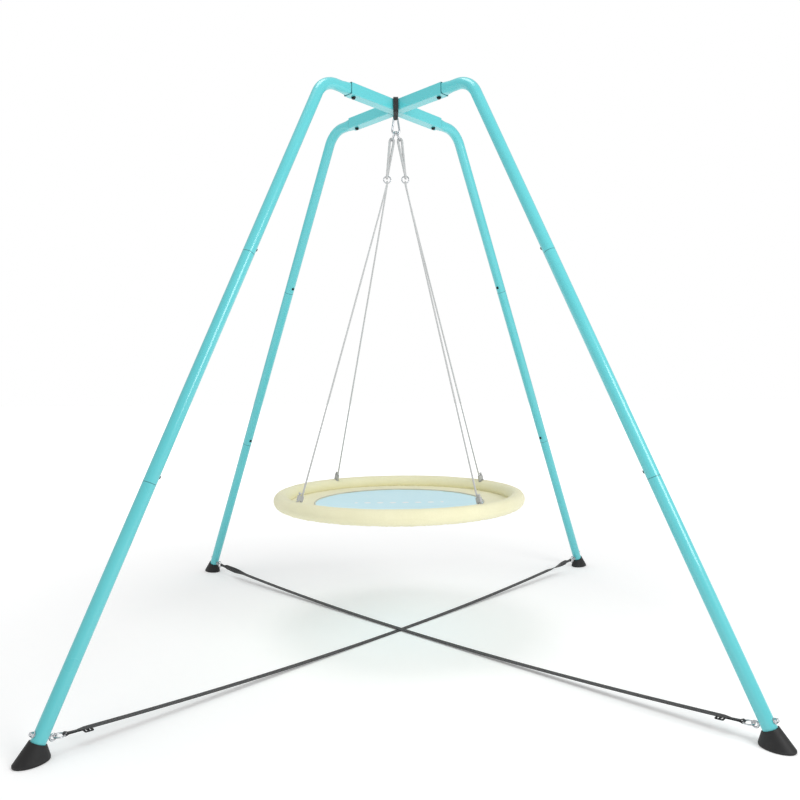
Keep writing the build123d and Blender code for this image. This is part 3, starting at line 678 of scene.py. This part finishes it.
# ---------------------------------------------------------------- adjusters
# Grey moulded blocks with two holes, one under each knot. The rope's two strands pass
# through a block, which slides to set the rope's length.
grey_block = Finish("grey_moulding", Roughness=0.42)
at = grey_block.place()
grain = grey_block.noise(at, 900.0, 2.0)
shade = grey_block.noise(at, 70.0, 4.0)
grey_block.set(
    Base_Color=grey_block.blend(shade, linear(168, 169, 171), linear(186, 187, 188)),
    Roughness=grain * 0.14 + 0.36,
    Normal=grey_block.wear(grain, 0.00006, 0.6),
)
dress(named("rope_adjuster"), grey_block.material)

# ---------------------------------------------------------------- rim
# Four quarter rings of galvanised tube pushed into each other, hidden in sleeves of
# closed-cell foam.
galvanised = Finish("galvanised_tube", Metallic=1.0, Roughness=0.4)
at = galvanised.place()
spangle = galvanised.add("ShaderNodeTexVoronoi", (), {"Vector": at, "Scale": 220.0}, out="Color")
bright, rough, _ = galvanised.split(spangle)
galvanised.set(
    Base_Color=galvanised.blend(bright, linear(150, 152, 155), linear(190, 192, 194)),
    Roughness=rough * 0.25 + 0.28,
)
dress(named("rim_tube"), galvanised.material)

foam = Finish("closed_cell_foam", Roughness=0.9)
cells = foam.add("ShaderNodeTexVoronoi", (), {"Vector": foam.place(), "Scale": 900.0})
foam.set(
    Base_Color=foam.blend(cells, linear(206, 204, 196), linear(232, 230, 222)),
    Roughness=cells * 0.1 + 0.84,
    Normal=foam.wear(cells, 0.0003, 0.8),
)
dress(["rim_foam_sleeves"], foam.material)

# ---------------------------------------------------------------- rim cover
# Pale yellow polyester cloth sewn round the foam, with a bound window over each rope. Its
# seam runs along the under side, and the cloth puckers along it.
COVER_R = 0.0298
AZIMUTHS = [217, 307, 127, 37]
TURNS = 720
ROUND = 64
FIRST = math.radians(217) + math.pi / TURNS  # so that a rope stands over a cell's middle
WINDOW_TILT = math.radians(20.4)  # of a rope's way up, inwards from the vertical
WINDOW_L = 0.0245
WINDOW_W = 0.0128


def cover_point(turn, roll, radius):
    """On the ring: turn goes round the swing's axis, roll round the tube from outwards
    over the top."""
    reach = RIM_R + radius * np.cos(roll)
    height = RIM_Z + radius * np.sin(roll)
    return np.stack([reach * np.cos(turn), reach * np.sin(turn), height], -1)


def pucker(turn, roll, seed=3):
    """Small folds square to the seam: sines round the ring with seeded phases, strongest
    beside the seam and the windows, plus a slack wave over the rest."""
    rng = np.random.default_rng(seed)
    near_seam = np.exp(-((((roll + np.pi / 2 + np.pi) % (2 * np.pi)) - np.pi) / 0.7) ** 2)
    total = 0
    for waves in (37, 61, 97, 143, 211):
        start = rng.uniform(0, 6.28)
        total = total + np.sin(turn * waves + start + 0.6 * np.sin(roll + rng.uniform(0, 6)))
    slack = 0
    for waves in (5, 9, 16, 23):
        wave = np.sin(turn * waves + rng.uniform(0, 6.28))
        slack = slack + wave * np.cos(roll * 2 + rng.uniform(0, 6))
    near_rope = 0
    for azimuth in AZIMUTHS:
        gap = (turn - math.radians(azimuth) + np.pi) % (2 * np.pi) - np.pi
        near_rope = near_rope + np.exp(-(gap * RIM_R / 0.035) ** 2)
    return total * (0.00009 + 0.00022 * near_seam + 0.00012 * near_rope) + slack * 0.00016


turn, roll = np.meshgrid(
    FIRST + np.arange(TURNS) * 2 * np.pi / TURNS,
    np.pi / 2 + WINDOW_TILT + (np.arange(ROUND) + 0.5) * 2 * np.pi / ROUND,
    indexing="ij",
)
skin = cover_point(turn, roll, COVER_R + pucker(turn, roll) - 0.0003)
uv = np.stack([turn * RIM_R, roll * COVER_R], -1)
cover = outward(grid_mesh("rim_cloth", skin, around=True, along=True, uv=uv))
centres = np.zeros(len(cover.data.polygons) * 3)
cover.data.polygons.foreach_get("center", centres)
centres = centres.reshape(-1, 3)
cut = np.zeros(len(centres), bool)
frames = [
    rope_frame(FRONT_AZIMUTH["left"], -1, 1),
    rope_frame(FRONT_AZIMUTH["right"], 1, 1),
    rope_frame(REAR_AZIMUTH["left"], -1, -1),
    rope_frame(REAR_AZIMUTH["right"], 1, -1),
]
for middle, along, across in frames:
    third = np.cross(along, across)
    offset = centres - middle
    inside = (np.abs(offset @ across) < WINDOW_L / 2) & (np.abs(offset @ third) < WINDOW_W / 2)
    cut |= inside & (offset @ along > 0)

shell = bmesh.new()
shell.from_mesh(cover.data)
shell.faces.ensure_lookup_table()
bmesh.ops.delete(shell, geom=[shell.faces[i] for i in np.flatnonzero(cut)], context="FACES")
shell.to_mesh(cover.data)
shell.free()
thick = cover.modifiers.new("cloth thickness", "SOLIDIFY")
thick.thickness = 0.0009
thick.offset = -1


def cloth(name, light, shade, thread=0.0011, mark=None):
    """Plain woven polyester: warp and weft ribs at right angles on the UV map."""
    finish = Finish(name, Roughness=0.8, Sheen_Weight=0.3, Sheen_Roughness=0.4)
    u, v, _ = finish.split(finish.across())
    warp = (u * (2 * math.pi / thread)).math("SINE")
    weft = (v * (2 * math.pi / thread)).math("SINE")
    weave = warp * weft
    at = finish.place()
    slub = finish.noise(at, 260.0, 3.0)
    cloudy = finish.noise(at, 7.0, 4.0, 0.6)
    colour = finish.blend((weave * 0.18 + slub * 0.5 + cloudy * 0.5).to(0.15, 0.85), shade, light)
    if mark is not None:
        colour = finish.blend(mark(finish, at), colour, linear(250, 252, 252))
    finish.set(
        Base_Color=colour,
        Roughness=slub * 0.12 + 0.74,
        Normal=finish.wear(weave * 0.7 + slub, 0.00022, 0.7),
    )
    return finish.material


YELLOW_CLOTH = cloth("yellow_cloth", linear(246, 242, 208), linear(232, 227, 188))
cover.data.materials.append(YELLOW_CLOTH)
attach(cover, "seat")
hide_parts("rim_cover")

# ---------------------------------------------------------------- window hems
# Each window's raw edge is bound with a narrow grey tape, sewn on all round. The same tape
# pipes the seam of the seat panel.
HEM_R = 0.0011
binding = Finish("window_binding", Roughness=0.8, Sheen_Weight=0.2)
u, v, _ = binding.split(binding.across())
ribs = (u * (2 * math.pi / 0.0012)).math("SINE")
binding.set(
    Base_Color=binding.blend(ribs.to(-1.2, 1.2), linear(168, 168, 164), linear(196, 195, 190)),
    Roughness=binding.noise(binding.place(), 800.0) * 0.1 + 0.74,
    Normal=binding.wear(ribs, 0.0002, 0.7),
)
for number, (middle, along, across) in enumerate(frames):
    third = np.cross(along, across)
    t = np.linspace(0, 2 * np.pi, 64, endpoint=False)
    bend = 0.45  # the power that squares the oval
    a = WINDOW_L / 2 * np.sign(np.cos(t)) * np.abs(np.cos(t)) ** bend
    b = WINDOW_W / 2 * np.sign(np.sin(t)) * np.abs(np.sin(t)) ** bend
    rise = np.sqrt(np.maximum((COVER_R + 0.0002) ** 2 - a**2, 0))
    ring = middle + a[:, None] * across + b[:, None] * third + rise[:, None] * along
    name = f"window_hem_{number + 1}"
    hem = braided(name, ring, [along, along], HEM_R, 0.006, 0.0009, closed=True)
    hem.data.materials.append(binding.material)
    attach(hem, "seat")

# ---------------------------------------------------------------- seat web
# The flat ring of the same yellow cloth between the rim and the blue panel, drawn tight
# but puckered where it is sewn to the rim.
WEB_IN = 0.342
WEB_OUT = 0.4555
WEB_Z = 0.5315
WEB_RISE = 0.0015


def web_point(turn, share):
    """A flat ring; radial pleats fade from the rim seam inwards with the fourth power of
    the share of the way out."""
    rng = np.random.default_rng(11)
    pleat = 0
    for waves in (41, 67, 103, 151):
        pleat = pleat + np.sin(turn * waves + rng.uniform(0, 6.28))
    slack = np.sin(turn * 4 + 0.6) + 0.6 * np.sin(turn * 7 + 2.0)
    reach = WEB_IN + (WEB_OUT - WEB_IN) * share
    sag = 0.0007 * slack * np.sin(np.pi * share)
    height = WEB_Z + WEB_RISE * share + 0.00035 * pleat * share**4 + sag
    return np.stack([reach * np.cos(turn), reach * np.sin(turn), height], -1)


WEB_TURNS = 960
angles = np.arange(WEB_TURNS) * 2 * np.pi / WEB_TURNS
turn, share = np.meshgrid(angles, np.linspace(0, 1, 40), indexing="ij")
ring_points = web_point(turn, share)
web = grid_mesh("seat_web", ring_points, along=True, uv=ring_points[..., :2])
if web.data.polygons[0].normal.z < 0:
    web.data.flip_normals()
thick = web.modifiers.new("cloth thickness", "SOLIDIFY")
thick.thickness = 0.0012
thick.offset = 0
web.data.materials.append(YELLOW_CLOTH)
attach(web, "seat")

# ---------------------------------------------------------------- seat panel
# The round blue panel is quilted thin polyester, edged with a light piping where the
# yellow web is sewn to it. It hangs a few millimetres low in the middle.
PANEL_R = 0.352
PANEL_Z = 0.5296
PANEL_SAG = 0.004


def panel_point(turn, share):
    """A shallow dish: the sag falls off with one less the square of the share of the
    radius, and faint drag lines run in from the edge."""
    rng = np.random.default_rng(5)
    drag = 0
    for waves in (9, 14, 23, 31):
        drag = drag + np.sin(turn * waves + rng.uniform(0, 6.28))
    height = PANEL_Z - PANEL_SAG * (1 - share**2) + 0.00028 * drag * share**3
    reach = PANEL_R * share
    return np.stack([reach * np.cos(turn), reach * np.sin(turn), height], -1)


def dots(finish, at):
    """A row of soft round dots across the middle of the panel."""
    pitch = 0.052
    row_end = 0.181
    radius = 0.0125
    soft = 0.002
    x, y, _ = finish.split(at)
    local = (x / pitch).math("FRACT") - 0.5
    square = local * local * pitch**2 + y * y
    keep = 1 - x.math("ABSOLUTE").to(row_end, row_end + soft)
    return (1 - square.math("SQRT").to(radius, radius + soft)) * keep * 0.85


PANEL_TURNS = 480
angles = np.arange(PANEL_TURNS) * 2 * np.pi / PANEL_TURNS
turn, share = np.meshgrid(angles, np.linspace(0.0, 1, 90)[1:], indexing="ij")
disc = panel_point(turn, share)
panel = grid_mesh("blue_panel", disc, along=True, uv=disc[..., :2])
shell = bmesh.new()
shell.from_mesh(panel.data)
open_edges = [e for e in shell.edges if e.is_boundary]
centre_hole = [e for e in open_edges if e.verts[0].co.xy.length < PANEL_R * 0.1]
bmesh.ops.holes_fill(shell, edges=centre_hole, sides=0)
bmesh.ops.recalc_face_normals(shell, faces=shell.faces)
shell.to_mesh(panel.data)
shell.free()
if panel.data.polygons[0].normal.z < 0:
    panel.data.flip_normals()
thick = panel.modifiers.new("cloth thickness", "SOLIDIFY")
thick.thickness = 0.0014
thick.offset = 0
blue = cloth("blue_cloth", linear(214, 246, 254), linear(198, 238, 249), mark=dots)
panel.data.materials.append(blue)
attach(panel, "seat")
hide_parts("seat_panel")

# ---------------------------------------------------------------- panel piping
# A round piping of the grey tape lies on the seam between the yellow web and the panel. It
# is sewn into the seam all round.
PIPING_R = 0.0016
upright = (0, 0, 1)
t = np.linspace(0, 2 * np.pi, 720, endpoint=False)
seam_line = web_point(t, 0.03) + (0, 0, 0.0012)
sides = [upright, upright]
piping = braided("panel_piping", seam_line, sides, PIPING_R, 0.008, 0.0022, closed=True)
piping.data.materials.append(binding.material)
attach(piping, "seat")

# ---------------------------------------------------------------- studio
# A plain pale floor that glows more with distance, soft light from all round, a lamp
# overhead and a stronger one in front on the right.
floor_mesh = bpy.data.meshes.new("floor")
far = 40.0
floor_corners = [(-far, -far, 0), (far, -far, 0), (far, far, 0), (-far, far, 0)]
floor_mesh.from_pydata(floor_corners, [], [(0, 1, 2, 3)])
floor = bpy.data.objects.new("floor", floor_mesh)
bpy.context.scene.collection.objects.link(floor)
paper = Finish("pale_floor", Roughness=0.9, Emission_Strength=1.0)
at = paper.place()
x, y, _ = paper.split(at)
away = (x * x + y * y).math("SQRT").to(1.2, 4.5)
paper.set(Emission_Color=paper.blend(away, (0.12, 0.12, 0.12, 1), (0.6, 0.6, 0.6, 1)))
cloudy = paper.noise(at, 2.0)
paper.set(Base_Color=paper.blend(cloudy, linear(250, 250, 250), linear(252, 252, 252)))
floor_mesh.materials.append(paper.material)

world = bpy.data.worlds.new("studio")
world.use_nodes = True
world.node_tree.nodes["Background"].inputs[0].default_value = (1, 1, 1, 1)
backdrop = world.node_tree.nodes["Background"]
seen = world.node_tree.nodes.new("ShaderNodeLightPath")
strength = world.node_tree.nodes.new("ShaderNodeMapRange")
strength.inputs["To Min"].default_value = 0.64  # as light on the swing
strength.inputs["To Max"].default_value = 1.0  # as the white seen behind it
world.node_tree.links.new(seen.outputs["Is Camera Ray"], strength.inputs["Value"])
world.node_tree.links.new(strength.outputs["Result"], backdrop.inputs["Strength"])
bpy.context.scene.world = world
bpy.context.scene.view_settings.view_transform = "Standard"


def lamp(name, at, aim, size, power):
    """A square soft lamp aimed at a point."""
    data = bpy.data.lights.new(name, "AREA")
    data.size = size
    data.energy = power
    light = bpy.data.objects.new(name, data)
    light.location = at
    light.rotation_euler = (Vector(aim) - Vector(at)).to_track_quat("-Z", "Y").to_euler()
    bpy.context.scene.collection.objects.link(light)


lamp("overhead", (-0.4, -0.5, 4.5), (0, 0, 0.0), 1.6, 32)
lamp("key", (2.4, -2.8, 2.4), (0, 0, 1.0), 1.6, 52)

# The camera stands at a child's eye height, in front and a little to the left.
YAW = math.radians(1.14)
PITCH = math.radians(-1.0)
ROLL = math.radians(-0.53)
ahead = Vector((math.sin(YAW), math.cos(YAW), 0)) * math.cos(PITCH)
ahead.z = math.sin(PITCH)
level = Vector((math.cos(YAW), -math.sin(YAW), 0))
rise = level.cross(ahead)
right = level * math.cos(ROLL) + rise * math.sin(ROLL)
upward = rise * math.cos(ROLL) - level * math.sin(ROLL)
camera_data = bpy.data.cameras.new("camera")
camera_data.sensor_width = 36
camera_data.lens = 32.36
camera = bpy.data.objects.new("camera", camera_data)
turned = Matrix((right, upward, -ahead)).transposed().to_4x4()
turned.translation = Vector((-0.0517, -2.9446, 0.9988))
camera.matrix_world = turned
bpy.context.scene.collection.objects.link(camera)
bpy.context.scene.camera = camera
